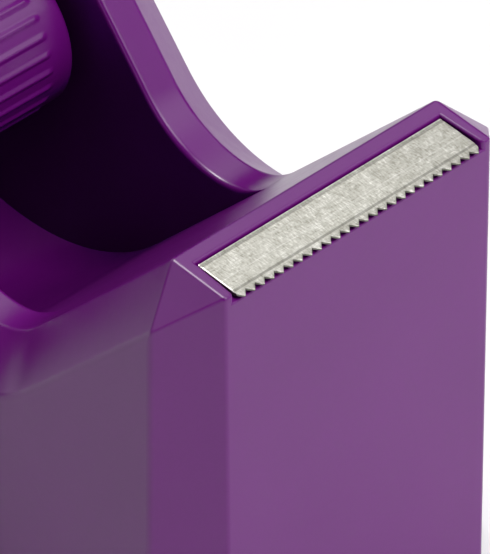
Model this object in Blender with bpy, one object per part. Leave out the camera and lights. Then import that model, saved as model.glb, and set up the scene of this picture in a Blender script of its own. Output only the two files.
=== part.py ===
"""Desk tape dispenser: a faceted body with a serrated cutter, a lift-out tape hub and a weighted base.

Z is up, the cutter end looks towards -Y and the body is symmetric about X = 0.  The origin is on the
table, under the middle of the whole object.  Profiles are drawn as (depth, height): depth runs back from
the tower's flat front face, height runs up from the table.
"""
import math

import bmesh
import bpy

MM = 0.001

# Driving dimensions of the body
BODY_LENGTH = 114.0 * MM          # front face to back face
TOWER_HEIGHT = 62.0 * MM          # front top edge of the cutter tower above the table
HOUSING_HEIGHT = 76.0 * MM        # top of the rear housing above the table
FRAME_HALF_WIDTH = 19.5 * MM      # flat front face and flat rims, from the middle plane
SIDE_HALF_WIDTH = 25.1 * MM       # side faces where they meet the tower's corner facets
SIDE_DRAFT = math.radians(0.8)    # the side faces lean outwards towards the table
BAND_RATIOS = (                   # depth, and there the drop of the sloping band for each unit of its width
    (8.0 * MM, 1.0), (20.0 * MM, 0.96), (38.0 * MM, 0.83), (50.0 * MM, 0.88), (90.0 * MM, 0.88),
    (106.0 * MM, 1.0))
TOWER_DEPTH = 8.1 * MM            # top of the tower, front to back
TOP_RISE = 0.76 * MM              # how much higher the back of the tower's top is
WALL_SKIN = 2.5 * MM
TOWER_TOP_SKIN = 5.0 * MM
SHELL_BOTTOM = 1.0 * MM

# Flat rim profile behind the tower
VALLEY_HEIGHT = 37.8 * MM
VALLEY_RADIUS = 11.4 * MM
SWEEP_START = 37.9 * MM           # depth where the rim starts to rise
SWEEP_RADIUS = 14.5 * MM
SWEEP_ANGLE = math.radians(51.0)
HOUSING_FRONT_RADIUS = 9.0 * MM
HOUSING_BACK_RADIUS = 34.0 * MM

# Tape well and hub
WELL_HALF_WIDTH = 15.2 * MM
WELL_MOUTH = 27.5 * MM            # depth where the well's sides start beside the back slope
WELL_STEP = 0.02 * MM             # the well's lining starts this far under the back slope
HUB_DEPTH = 69.5 * MM
HUB_HEIGHT = 44.1 * MM
DRUM_RADIUS = 10.1 * MM
DRUM_HALF_LENGTH = 13.7 * MM
DRUM_WALL = 1.8 * MM
DRUM_END_RADIUS = 0.9 * MM
DRUM_FLOOR = 2.0 * MM             # end walls of the drum and its cap
PLUG_LENGTH = 4.0 * MM
RIB_COUNT = 28
RIB_HEIGHT = 0.25 * MM
RIB_HALF_LENGTH = 10.6 * MM
RIB_TAPER = 1.2 * MM
RIB_CREST = 0.08                  # half the width of a rib's crest, as a share of the ribs' spacing
RIB_FOOT = 0.22                   # half the width of a rib's foot, as a share of the ribs' spacing
AXLE_RADIUS = 2.0 * MM
AXLE_HALF_LENGTH = 17.6 * MM
AXLE_FLAT = 1.5 * MM              # half the distance across the axle's end flats
AXLE_BEVEL = 0.4 * MM
AXLE_FLAT_GAP = 0.6 * MM          # round part of the axle that shows outside the drum
BEARING_RADIUS = 2.08 * MM
BEARING_BOSS_RADIUS = 4.2 * MM
BEARING_BOSS_LENGTH = 5.0 * MM
SLOT_HALF_WIDTH = 1.8 * MM
SLOT_END = 17.9 * MM
SLOT_FLARE_HEIGHT = 62.0 * MM     # above this the slots' mouths widen
SLOT_MOUTH_HEIGHT = 80.0 * MM
SLOT_MOUTH_HALF_WIDTH = 4.68 * MM # at the mouth height
SLOT_PAD_HALF_WIDTH = 4.8 * MM
SLOT_PAD_END = 20.4 * MM

# Cutter seat and cutter
SEAT_DEPTH = 1.15 * MM
SEAT_REAR_BAR = 1.95 * MM
SEAT_REAR_HALF_WIDTH = 18.05 * MM
SEAT_FRONT_HALF_WIDTH = 18.35 * MM
CUTTER_HALF_WIDTH = 17.9 * MM
CUTTER_TOP = 0.25 * MM            # depth of the cutter's top under the frame
CUTTER_THICKNESS = 0.5 * MM
CUTTER_BACK = 5.9 * MM
CUTTER_ROOT = 0.2 * MM
TOOTH_OVERHANG = 0.6 * MM
TOOTH_COUNT = 26
CUTTER_BEND = 1.7 * MM            # depth of the line where the ground toothed strip starts
TOOTH_TIP_SHARE = 0.6             # a tooth's thickness at its tip, as a share of the strip's
ADHESIVE_THICKNESS = 0.25 * MM
ADHESIVE_GAP = 0.07 * MM          # squeezed air between the strip and the adhesive
ADHESIVE_MARGIN = 0.6 * MM        # at the strip's two ends
ADHESIVE_FRONT = 0.9 * MM
ADHESIVE_BACK = 5.4 * MM

# Base, weights and fasteners
PAD_THICKNESS = 1.2 * MM
PAD_MARGIN = 1.0 * MM             # between the pad's edge and the body's inner skin
PLATE_BOTTOM = 1.5 * MM
PLATE_THICKNESS = 2.5 * MM
FIT_GAP = 0.3 * MM
BALLAST_HALF_WIDTH = 15.6 * MM
BALLAST_FRONT_TOP = 44.0 * MM
BALLAST_FRONT_BACK = 34.0 * MM
BALLAST_REAR_START = 58.0 * MM
BALLAST_REAR_TOP = 40.0 * MM
BALLAST_CLEARANCE = 1.2 * MM
BOSS_RADIUS = 3.2 * MM
BOSS_TOP = 18.0 * MM
BOSS_X = 20.6 * MM
BOSS_DEPTHS = (12.0 * MM, 103.0 * MM)
BALLAST_SCREW_X = 8.0 * MM
BALLAST_SCREW_DEPTHS = (20.0 * MM, 102.0 * MM)
SCREW_RADIUS = 1.25 * MM
SCREW_HEAD_RADIUS = 2.5 * MM
SCREW_HEAD_HEIGHT = 1.3 * MM
SCREW_LENGTH = 10.0 * MM
SCREW_RECESS = 0.1 * MM           # screw heads sit this far inside the plate's underside
SCREW_TIP_LENGTH = 1.2 * MM
SCREW_TIP_RADIUS = 0.5 * MM
SCREW_PILOT_DEPTH = 12.0 * MM
SCREW_SEGMENTS = 16

# How things are drawn
REACH = 2.0 * MM                  # how far a cutter goes past the face it opens
FACET_ANGLE = math.radians(22.5)  # half the turn at a 45 degree corner
END_STEPS = 4                     # steps of the drum's round ends
CAP_SEGMENTS = 48
AXLE_SEGMENTS = 32

# Values that follow from the driving dimensions
FRONT_Y = (TOOTH_OVERHANG - BODY_LENGTH) / 2
CHAMFER = SIDE_HALF_WIDTH - FRAME_HALF_WIDTH
SLOPE_SUM = TOWER_DEPTH + TOWER_HEIGHT + TOP_RISE          # depth + height along the 45 degree back slope
CORNER = (CHAMFER, SLOPE_SUM - CHAMFER * math.sqrt(2) - CHAMFER)
WELL_RADIUS = (HUB_DEPTH + HUB_HEIGHT - SLOPE_SUM) / math.sqrt(2)
INNER_FRAME_HALF_WIDTH = FRAME_HALF_WIDTH - WALL_SKIN * math.tan(FACET_ANGLE)
PLATE_TOP = PLATE_BOTTOM + PLATE_THICKNESS
BOSS_BOTTOM = PLATE_TOP + FIT_GAP


# ---------------------------------------------------------------- small tools

def clear_scene():
    """Remove every object of the open file."""
    for obj in list(bpy.data.objects):
        bpy.data.objects.remove(obj, do_unlink=True)


def material(name, color, roughness, metallic=0.0):
    """A Principled BSDF with one colour."""
    mat = bpy.data.materials.new(name)
    mat.use_nodes = True
    shader = mat.node_tree.nodes["Principled BSDF"]
    shader.inputs["Base Color"].default_value = (*color, 1.0)
    shader.inputs["Roughness"].default_value = roughness
    shader.inputs["Metallic"].default_value = metallic
    return mat


def add_object(name, bm, mat=None, parent=None, smooth=False):
    """Turn a bmesh into a named object of the scene."""
    bmesh.ops.recalc_face_normals(bm, faces=bm.faces)
    mesh = bpy.data.meshes.new(name)
    bm.to_mesh(mesh)
    bm.free()
    if mat is not None:
        mesh.materials.append(mat)
    if smooth:
        mesh.shade_smooth()
        mesh.set_sharp_from_angle(angle=math.radians(30))
    obj = bpy.data.objects.new(name, mesh)
    bpy.context.scene.collection.objects.link(obj)
    obj.parent = parent
    return obj


def hide_tool(obj):
    """Mark an object as a cutter: it shapes others and isn't a piece."""
    obj.hide_render = True
    obj.display_type = "WIRE"
    return obj


def add_boolean(obj, tool, operation="DIFFERENCE"):
    """Cut or join one object with another and keep the modifier."""
    modifier = obj.modifiers.new(tool.name, "BOOLEAN")
    modifier.operation = operation
    modifier.solver = "EXACT"
    modifier.object = hide_tool(tool)


def world(x, depth, height):
    """A point of a profile at the width x."""
    return (x, FRONT_Y + depth, height)


def arc(center, radius, start, end, steps):
    """Points on an arc in the (depth, height) plane, angles in degrees."""
    points = []
    for i in range(steps + 1):
        angle = math.radians(start + (end - start) * i / steps)
        points.append((center[0] + radius * math.cos(angle), center[1] + radius * math.sin(angle)))
    return points


def inward_normal(p, q):
    """Normal of the run from p to q that points into the body, for a profile drawn front to back."""
    run = math.dist(p, q)
    return ((q[1] - p[1]) / run, (p[0] - q[0]) / run)


def inset(points, distances):
    """Move an open profile inwards by one distance for each point, keeping its runs parallel."""
    moved = []
    for i, point in enumerate(points):
        before = inward_normal(points[max(i - 1, 0)], points[max(i, 1)])
        last = len(points) - 1
        after = inward_normal(points[min(i, last - 1)], points[min(i + 1, last)])
        miter = distances[i] / (1 + before[0] * after[0] + before[1] * after[1])
        moved.append((point[0] + (before[0] + after[0]) * miter, point[1] + (before[1] + after[1]) * miter))
    return moved


def bridge(bm, first, second):
    """Quads between two closed rings of vertices, skipping runs that share both ends."""
    count = len(first)
    for i in range(count):
        j = (i + 1) % count
        corners = []
        for vert in (first[i], first[j], second[j], second[i]):
            if vert not in corners:
                corners.append(vert)
        if len(corners) > 2:
            bm.faces.new(corners)


def prism(points, half_width):
    """A profile extruded along X, the same on both sides."""
    bm = bmesh.new()
    left = [bm.verts.new(world(-half_width, *point)) for point in points]
    right = [bm.verts.new(world(half_width, *point)) for point in points]
    bm.faces.new(left)
    bm.faces.new(right)
    bridge(bm, left, right)
    return bm


def rod(x, depth, low, high, radius, segments=SCREW_SEGMENTS):
    """An upright cylinder."""
    return turned_z(x, depth, ((low, radius), (high, radius)), segments)


def turned_z(x, depth, sections, segments=SCREW_SEGMENTS):
    """A solid turned about an upright axis from (height, radius) sections."""
    bm = bmesh.new()
    rings = []
    for height, radius in sections:
        ring = []
        for i in range(segments):
            angle = 2 * math.pi * (i + 0.5) / segments
            point = world(x + radius * math.cos(angle), depth + radius * math.sin(angle), height)
            ring.append(bm.verts.new(point))
        rings.append(ring)
    for low_ring, high_ring in zip(rings, rings[1:]):
        bridge(bm, low_ring, high_ring)
    bm.faces.new(rings[0])
    bm.faces.new(rings[-1])
    return bm


# ---------------------------------------------------------------- body profiles

def side_half_width(height):
    """Half the body's width at a height."""
    return SIDE_HALF_WIDTH + (CORNER[1] - height) * math.tan(SIDE_DRAFT)


def rim_profile():
    """The flat rim's edge: front face, tower top, back slope, valley, rising sweep and round back."""
    slope_foot = (SLOPE_SUM - VALLEY_HEIGHT, VALLEY_HEIGHT)
    valley_start = slope_foot[0] + VALLEY_RADIUS * math.tan(FACET_ANGLE)
    valley_center = (valley_start, VALLEY_HEIGHT + VALLEY_RADIUS)
    sweep_center = (SWEEP_START, VALLEY_HEIGHT + SWEEP_RADIUS)
    sweep_end_angle = math.degrees(SWEEP_ANGLE) - 90
    sweep = arc(sweep_center, SWEEP_RADIUS, -90, sweep_end_angle, 6)
    rise = HOUSING_HEIGHT - sweep[-1][1]
    crown = sweep[-1][0] + rise / math.tan(SWEEP_ANGLE)
    crown_end = crown + HOUSING_FRONT_RADIUS * math.tan(SWEEP_ANGLE / 2)
    crown_center = (crown_end, HOUSING_HEIGHT - HOUSING_FRONT_RADIUS)
    back_center = (BODY_LENGTH - HOUSING_BACK_RADIUS, HOUSING_HEIGHT - HOUSING_BACK_RADIUS)
    points = [(0.0, SHELL_BOTTOM), (0.0, TOWER_HEIGHT), (TOWER_DEPTH, TOWER_HEIGHT + TOP_RISE)]
    points += arc(valley_center, VALLEY_RADIUS, -135, -90, 4)
    points += sweep
    points += arc(crown_center, HOUSING_FRONT_RADIUS, 90 + math.degrees(SWEEP_ANGLE), 90, 5)
    points += arc(back_center, HOUSING_BACK_RADIUS, 90, 0, 12)[1:]
    points.append((BODY_LENGTH, SHELL_BOTTOM))
    return points


def band_ratio(depth):
    """Drop of the sloping band for each unit of its width: a full 45 degrees on the upright corners."""
    if depth <= BAND_RATIOS[0][0]:
        return BAND_RATIOS[0][1]
    for (start, low), (end, high) in zip(BAND_RATIOS, BAND_RATIOS[1:]):
        if depth <= end:
            return low + (high - low) * (depth - start) / (end - start)
    return BAND_RATIOS[-1][1]


def side_profile(rim):
    """The side face's edge: the rim profile moved in by the chamfer, which draft makes wider lower down."""
    side = rim
    for _ in range(3):
        drops = [band_ratio(depth) * (side_half_width(height) - FRAME_HALF_WIDTH) for depth, height in side]
        side = inset(rim, drops)
    side[1] = CORNER
    side[2] = CORNER
    side[0] = (side[0][0], SHELL_BOTTOM)
    side[-1] = (side[-1][0], SHELL_BOTTOM)
    return side


def chamfered_prism(rim, side, rim_half_width, side_width):
    """A profile extruded along X between two rims, with sloping faces from each rim to its side face."""
    bm = bmesh.new()
    loops = []
    for sign in (-1, 1):
        corners = {}
        for point in side:
            if point not in corners:
                corners[point] = bm.verts.new(world(sign * side_width(point[1]), *point))
        side_loop = [corners[point] for point in side]
        rim_loop = [bm.verts.new(world(sign * rim_half_width, *point)) for point in rim]
        bm.faces.new(corners.values())
        loops.append((side_loop, rim_loop))
        for i in range(len(rim) - 1):
            band = []
            for vert in (side_loop[i], side_loop[i + 1], rim_loop[i + 1], rim_loop[i]):
                if vert not in band:
                    band.append(vert)
            bm.faces.new(band)
    (left_side, left_rim), (right_side, right_rim) = loops
    for i in range(len(rim) - 1):
        bm.faces.new((left_rim[i], left_rim[i + 1], right_rim[i + 1], right_rim[i]))
    bm.faces.new((left_side[0], left_rim[0], right_rim[0], right_side[0],
                  right_side[-1], right_rim[-1], left_rim[-1], left_side[-1]))
    bmesh.ops.triangulate(bm, faces=[face for face in bm.faces if len(face.verts) == 4])
    return bm


def well_profile(grow, mouth_depth):
    """The tape well: back slope, round floor about the hub and upright rear, moved out by a distance."""
    radius = WELL_RADIUS + grow
    top = HOUSING_HEIGHT + REACH
    floor = arc((HUB_DEPTH, HUB_HEIGHT), radius, 225, 360, 18)
    mouth = (mouth_depth, floor[0][0] + floor[0][1] - mouth_depth)
    return [(mouth_depth, top), mouth] + floor + [(HUB_DEPTH + radius, top)]


def cavity_profile():
    """The hollow inside the body: the rim profile moved in by the skin, lower under the cutter."""
    rim = inset(rim_profile(), [WALL_SKIN] * len(rim_profile()))
    top = TOWER_HEIGHT - TOWER_TOP_SKIN
    below = SHELL_BOTTOM - REACH
    rim[0] = (WALL_SKIN, below)
    rim[1] = (WALL_SKIN, top)
    rim[2] = (SLOPE_SUM - WALL_SKIN * math.sqrt(2) - top, top)
    rim[-1] = (BODY_LENGTH - WALL_SKIN, below)
    return rim


# ---------------------------------------------------------------- body shell

def make_outer():
    """The body's outside as one solid."""
    rim = rim_profile()
    return chamfered_prism(rim, side_profile(rim), FRAME_HALF_WIDTH, side_half_width)


def make_cavity_tool():
    """The hollow under the body, less the well's lining, the slot pads and the screw bosses."""
    rim = cavity_profile()
    inner_chamfer = SIDE_HALF_WIDTH - WALL_SKIN - INNER_FRAME_HALF_WIDTH
    side = inset(rim, [inner_chamfer] * len(rim))
    cavity = add_object("cavity_tool", chamfered_prism(
        rim, side, INNER_FRAME_HALF_WIDTH, lambda height: side_half_width(height) - WALL_SKIN))
    lining = prism(well_profile(WALL_SKIN, TOWER_DEPTH), WELL_HALF_WIDTH + WALL_SKIN)
    add_boolean(cavity, add_object("well_lining_tool", lining))
    pad_outline = [(HUB_DEPTH - SLOT_PAD_HALF_WIDTH, HUB_HEIGHT - 2 * SLOT_PAD_HALF_WIDTH),
                   (HUB_DEPTH + SLOT_PAD_HALF_WIDTH, HUB_HEIGHT - 2 * SLOT_PAD_HALF_WIDTH),
                   (HUB_DEPTH + SLOT_PAD_HALF_WIDTH, HOUSING_HEIGHT + REACH),
                   (HUB_DEPTH - SLOT_PAD_HALF_WIDTH, HOUSING_HEIGHT + REACH)]
    add_boolean(cavity, add_object("slot_pad_tool", prism(pad_outline, SLOT_PAD_END)))
    for depth in BOSS_DEPTHS:
        for sign in (-1, 1):
            boss = rod(sign * BOSS_X, depth, BOSS_BOTTOM, BOSS_TOP, BOSS_RADIUS)
            add_boolean(cavity, add_object("boss_tool", boss))
    return cavity


def make_slot_tool():
    """The two upright slots that the axle drops into, with a flared mouth."""
    bottom = HUB_HEIGHT - AXLE_RADIUS - FIT_GAP
    front = [(HUB_DEPTH - SLOT_MOUTH_HALF_WIDTH, SLOT_MOUTH_HEIGHT),
             (HUB_DEPTH - SLOT_HALF_WIDTH, SLOT_FLARE_HEIGHT), (HUB_DEPTH - SLOT_HALF_WIDTH, bottom)]
    rear = [(2 * HUB_DEPTH - depth, height) for depth, height in reversed(front)]
    outline = front + rear
    return prism(outline, SLOT_END)


def top_height(depth):
    """Height of the tower's sloping top at a depth."""
    return TOWER_HEIGHT + depth * TOP_RISE / TOWER_DEPTH


def plate_on_top(plan, high, low):
    """A flat plate that follows the tower's top: plan is (x, depth), high and low are drops below it."""
    bm = bmesh.new()
    upper = [bm.verts.new(world(x, depth, top_height(depth) - high)) for x, depth in plan]
    lower = [bm.verts.new(world(x, depth, top_height(depth) - low)) for x, depth in plan]
    bm.faces.new(upper)
    bm.faces.new(lower)
    bridge(bm, upper, lower)
    return bm


def make_seat_tool():
    """The recess for the cutter, open at the front."""
    back = TOWER_DEPTH - SEAT_REAR_BAR
    front = -REACH
    taper = (SEAT_FRONT_HALF_WIDTH - SEAT_REAR_HALF_WIDTH) / back
    front_half = SEAT_FRONT_HALF_WIDTH - taper * front
    plan = [(-SEAT_REAR_HALF_WIDTH, back), (SEAT_REAR_HALF_WIDTH, back),
            (front_half, front), (-front_half, front)]
    return plate_on_top(plan, -REACH, SEAT_DEPTH)


def make_body_shell(plastic):
    """The one-piece moulded body, hollow and open underneath."""
    shell = add_object("body_shell", make_outer(), plastic)
    add_boolean(shell, make_cavity_tool())
    add_boolean(shell, add_object("well_tool", prism(well_profile(WELL_STEP, WELL_MOUTH), WELL_HALF_WIDTH)))
    add_boolean(shell, add_object("slot_tool", make_slot_tool()))
    add_boolean(shell, add_object("seat_tool", make_seat_tool()))
    for depth in BOSS_DEPTHS:
        for sign in (-1, 1):
            pilot = rod(sign * BOSS_X, depth, BOSS_BOTTOM - REACH, PLATE_BOTTOM + SCREW_PILOT_DEPTH,
                        SCREW_RADIUS + FIT_GAP)
            add_boolean(shell, add_object("pilot_tool", pilot))
    return shell


# ---------------------------------------------------------------- cutter

def make_cutter(steel):
    """The serrated strip: saw teeth along the front edge, thinner towards their tips."""
    pitch = 2 * CUTTER_HALF_WIDTH / TOOTH_COUNT
    edge = []
    for i in range(TOOTH_COUNT):
        start = -CUTTER_HALF_WIDTH + i * pitch
        edge.append((start, CUTTER_ROOT))
        edge.append((start + pitch / 2, -TOOTH_OVERHANG))
    edge.append((CUTTER_HALF_WIDTH, CUTTER_ROOT))
    bm = bmesh.new()
    high = CUTTER_TOP
    low = CUTTER_TOP + CUTTER_THICKNESS
    tip_low = CUTTER_TOP + TOOTH_TIP_SHARE * CUTTER_THICKNESS

    def corner(x, depth, drop):
        return bm.verts.new(world(x, depth, top_height(depth) - drop))

    top_edge = [corner(x, depth, high) for x, depth in edge]
    low_edge = [corner(x, depth, low if depth == CUTTER_ROOT else tip_low) for x, depth in edge]
    roots = [x for x, depth in edge if depth == CUTTER_ROOT]
    ends = (-CUTTER_HALF_WIDTH, CUTTER_HALF_WIDTH)
    bend = [[corner(x, CUTTER_BEND, drop) for x in roots] for drop in (high, low)]
    back = [[corner(x, CUTTER_BACK, drop) for x in ends] for drop in (high, low)]
    for i in range(TOOTH_COUNT):
        for row, bend_row in ((top_edge, bend[0]), (low_edge, bend[1])):
            bm.faces.new((row[2 * i], row[2 * i + 1], row[2 * i + 2]))
            bm.faces.new((row[2 * i], row[2 * i + 2], bend_row[i + 1], bend_row[i]))
    for i in range(2 * TOOTH_COUNT):
        bm.faces.new((top_edge[i], top_edge[i + 1], low_edge[i + 1], low_edge[i]))
    for bend_row, back_row in zip(bend, back):
        bm.faces.new([*bend_row, back_row[1], back_row[0]])
    bm.faces.new((back[0][0], back[0][1], back[1][1], back[1][0]))
    for side in (0, -1):
        bm.faces.new((top_edge[side], bend[0][side], back[0][side],
                      back[1][side], bend[1][side], low_edge[side]))
    bmesh.ops.triangulate(bm, faces=bm.faces)
    return add_object("cutter_blade", bm, steel)


def make_cutter_adhesive(glue):
    """The thin strip that bonds the cutter into its seat."""
    half = CUTTER_HALF_WIDTH - ADHESIVE_MARGIN
    high = CUTTER_TOP + CUTTER_THICKNESS + ADHESIVE_GAP
    plan = [(-half, ADHESIVE_FRONT), (half, ADHESIVE_FRONT), (half, ADHESIVE_BACK), (-half, ADHESIVE_BACK)]
    return add_object("cutter_adhesive", plate_on_top(plan, high, high + ADHESIVE_THICKNESS), glue)


# ---------------------------------------------------------------- hub

def drum_sections():
    """Outside of the drum as (x, radius, rib share): round end, ribbed middle, plain open end."""
    sections = []
    end_center = DRUM_HALF_LENGTH - DRUM_END_RADIUS
    for i in range(END_STEPS + 1):
        angle = math.radians(90 * i / END_STEPS)
        radius = DRUM_RADIUS - DRUM_END_RADIUS * (1 - math.cos(angle))
        sections.append((end_center + DRUM_END_RADIUS * math.sin(angle), radius, 0.0))
    sections.reverse()
    sections.append((RIB_HALF_LENGTH, DRUM_RADIUS, 0.0))
    sections.append((RIB_HALF_LENGTH - RIB_TAPER, DRUM_RADIUS, 1.0))
    sections.append((RIB_TAPER - RIB_HALF_LENGTH, DRUM_RADIUS, 1.0))
    sections.append((-RIB_HALF_LENGTH, DRUM_RADIUS, 0.0))
    sections.append((FIT_GAP - end_center, DRUM_RADIUS, 0.0))
    return sections


def rib_angles():
    """Angles round the drum with each rib's two feet and its crest, and the place of each within a rib."""
    rib_share = (0.0, 1.0, 1.0, 0.0, 0.0)
    offsets = (-RIB_FOOT, -RIB_CREST, RIB_CREST, RIB_FOOT, 0.5)
    return [(2 * math.pi * (i + offset) / RIB_COUNT, share)
            for i in range(RIB_COUNT) for offset, share in zip(offsets, rib_share)]


def ring_at(bm, x, radius, angles, lift=0.0):
    """One closed ring about the hub's axis, drawn in the hub's own frame; ribs rise by the lift."""
    ring = []
    for angle, share in angles:
        out = radius + lift * share
        ring.append(bm.verts.new((x, out * math.cos(angle), out * math.sin(angle))))
    return ring


def make_hub_drum(plastic, hub):
    """The ribbed drum that carries the tape's core, closed and round at its right end."""
    bm = bmesh.new()
    angles = rib_angles()
    rings = [ring_at(bm, x, radius, angles, share * RIB_HEIGHT) for x, radius, share in drum_sections()]
    bore = DRUM_RADIUS - DRUM_WALL
    open_end = FIT_GAP - (DRUM_HALF_LENGTH - DRUM_END_RADIUS)
    floor = DRUM_HALF_LENGTH - DRUM_FLOOR
    boss_end = floor - BEARING_BOSS_LENGTH
    rings.append(ring_at(bm, open_end, bore, angles))
    rings.append(ring_at(bm, floor, bore, angles))
    rings.append(ring_at(bm, floor, BEARING_BOSS_RADIUS, angles))
    rings.append(ring_at(bm, boss_end, BEARING_BOSS_RADIUS, angles))
    rings.append(ring_at(bm, boss_end, BEARING_RADIUS, angles))
    rings.append(ring_at(bm, DRUM_HALF_LENGTH, BEARING_RADIUS, angles))
    for first, second in zip(rings, rings[1:] + rings[:1]):
        bridge(bm, first, second)
    return add_object("hub_drum", bm, plastic, hub, smooth=True)


def make_hub_cap(plastic, hub):
    """The plug that closes the drum's left end and carries the second bearing."""
    bm = bmesh.new()
    angles = [(2 * math.pi * i / CAP_SEGMENTS, 0.0) for i in range(CAP_SEGMENTS)]
    rings = []
    end_center = DRUM_HALF_LENGTH - DRUM_END_RADIUS
    for i in range(END_STEPS + 1):
        angle = math.radians(90 - 90 * i / END_STEPS)
        radius = DRUM_RADIUS - DRUM_END_RADIUS * (1 - math.cos(angle))
        rings.append(ring_at(bm, -end_center - DRUM_END_RADIUS * math.sin(angle), radius, angles))
    plug = DRUM_RADIUS - DRUM_WALL - FIT_GAP
    plug_end = PLUG_LENGTH - end_center
    floor = DRUM_FLOOR - DRUM_HALF_LENGTH
    boss_end = floor + BEARING_BOSS_LENGTH
    rings.append(ring_at(bm, -end_center, plug, angles))
    rings.append(ring_at(bm, plug_end, plug, angles))
    rings.append(ring_at(bm, plug_end, plug - DRUM_WALL, angles))
    rings.append(ring_at(bm, floor, plug - DRUM_WALL, angles))
    rings.append(ring_at(bm, floor, BEARING_BOSS_RADIUS, angles))
    rings.append(ring_at(bm, boss_end, BEARING_BOSS_RADIUS, angles))
    rings.append(ring_at(bm, boss_end, BEARING_RADIUS, angles))
    rings.append(ring_at(bm, -DRUM_HALF_LENGTH, BEARING_RADIUS, angles))
    for first, second in zip(rings, rings[1:] + rings[:1]):
        bridge(bm, first, second)
    return add_object("hub_cap", bm, plastic, hub, smooth=True)


def make_hub_axle(steel, axle):
    """The steel pin, round in the hub and flat-sided at its ends so that the slots keep it from turning."""
    bm = bmesh.new()
    flat_start = DRUM_HALF_LENGTH + AXLE_FLAT_GAP
    end = AXLE_HALF_LENGTH
    sections = ((end, AXLE_RADIUS - AXLE_BEVEL, True), (end - AXLE_BEVEL, AXLE_RADIUS, True),
                (flat_start + AXLE_BEVEL, AXLE_RADIUS, True), (flat_start, AXLE_RADIUS, False))
    sections += tuple((-x, radius, flat) for x, radius, flat in reversed(sections))
    rings = []
    for x, radius, flat in sections:
        ring = []
        for i in range(AXLE_SEGMENTS):
            angle = 2 * math.pi * i / AXLE_SEGMENTS
            y = radius * math.cos(angle)
            if flat:
                y = max(-AXLE_FLAT, min(AXLE_FLAT, y))
            ring.append(bm.verts.new((x, y, radius * math.sin(angle))))
        rings.append(ring)
    for first, second in zip(rings, rings[1:]):
        bridge(bm, first, second)
    bm.faces.new(rings[0])
    bm.faces.new(rings[-1])
    bmesh.ops.triangulate(bm, faces=bm.faces)
    return add_object("hub_axle", bm, steel, axle, smooth=True)


# ---------------------------------------------------------------- base and weights

def floor_plan(margin, height):
    """The body's octagonal plan at a height, moved in by a margin."""
    side = side_half_width(height) - margin
    front_half = FRAME_HALF_WIDTH - margin * math.tan(FACET_ANGLE)
    back = BODY_LENGTH - margin
    cut = side - front_half
    return [(-front_half, margin), (front_half, margin), (side, margin + cut), (side, back - cut),
            (front_half, back), (-front_half, back), (-side, back - cut), (-side, margin + cut)]


def plate(plan, low, high):
    """A flat plate with an upright edge."""
    bm = bmesh.new()
    lower = [bm.verts.new(world(x, depth, low)) for x, depth in plan]
    upper = [bm.verts.new(world(x, depth, high)) for x, depth in plan]
    bm.faces.new(lower)
    bm.faces.new(upper)
    bridge(bm, lower, upper)
    return bm


def screw_places():
    """Every base screw as (name, x, depth)."""
    places = []
    for prefix, x, depths in (("base_screw", BOSS_X, BOSS_DEPTHS),
                              ("ballast_screw", BALLAST_SCREW_X, BALLAST_SCREW_DEPTHS)):
        number = 1
        for depth in depths:
            for sign in (-1, 1):
                places.append((f"{prefix}_{number}", sign * x, depth))
                number += 1
    return places


def make_base_plate(plastic):
    """The flat plate that closes the body, countersunk for the screws."""
    plan = floor_plan(WALL_SKIN + FIT_GAP, PLATE_TOP)
    base = add_object("base_plate", plate(plan, PLATE_BOTTOM, PLATE_TOP), plastic)
    for name, x, depth in screw_places():
        wide = SCREW_HEAD_RADIUS + FIT_GAP
        narrow = SCREW_RADIUS + FIT_GAP
        cone_top = PLATE_BOTTOM + SCREW_HEAD_HEIGHT + FIT_GAP
        sections = ((PLATE_BOTTOM - REACH, wide), (PLATE_BOTTOM + FIT_GAP, wide), (cone_top, narrow),
                    (PLATE_TOP + REACH, narrow))
        add_boolean(base, add_object(name + "_hole_tool", turned_z(x, depth, sections)))
    return base


def make_screws(steel):
    """Countersunk self-tapping screws, driven from below through the base plate."""
    for name, x, depth in screw_places():
        low = PLATE_BOTTOM + SCREW_RECESS
        head = low + SCREW_HEAD_HEIGHT
        tip = low + SCREW_LENGTH
        sections = ((low, SCREW_HEAD_RADIUS), (head, SCREW_RADIUS), (tip - SCREW_TIP_LENGTH, SCREW_RADIUS),
                    (tip, SCREW_TIP_RADIUS))
        add_object(name, turned_z(x, depth, sections), steel, smooth=True)


def make_ballast_front(iron):
    """The cast weight inside the tower, cut back along the slope."""
    bottom = PLATE_TOP + FIT_GAP
    front = WALL_SKIN + BALLAST_CLEARANCE
    slope = SLOPE_SUM - (WALL_SKIN + BALLAST_CLEARANCE) * math.sqrt(2)
    outline = [(front, bottom), (front, BALLAST_FRONT_TOP), (slope - BALLAST_FRONT_TOP, BALLAST_FRONT_TOP),
               (BALLAST_FRONT_BACK, slope - BALLAST_FRONT_BACK), (BALLAST_FRONT_BACK, bottom)]
    return finish_ballast("ballast_front", outline, BALLAST_SCREW_DEPTHS[0], iron)


def make_ballast_rear(iron):
    """The cast weight under and behind the well, shaped to the well's round lining."""
    bottom = PLATE_TOP + FIT_GAP
    back = BODY_LENGTH - WALL_SKIN - BALLAST_CLEARANCE
    radius = WELL_RADIUS + WALL_SKIN + BALLAST_CLEARANCE
    start = math.degrees(math.asin((BALLAST_REAR_START - HUB_DEPTH) / radius)) - 90
    end = math.degrees(math.asin((BALLAST_REAR_TOP - HUB_HEIGHT) / radius))
    outline = [(BALLAST_REAR_START, bottom)] + arc((HUB_DEPTH, HUB_HEIGHT), radius, start, end, 12)
    outline += [(back, BALLAST_REAR_TOP), (back, bottom)]
    return finish_ballast("ballast_rear", outline, BALLAST_SCREW_DEPTHS[1], iron)


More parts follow.
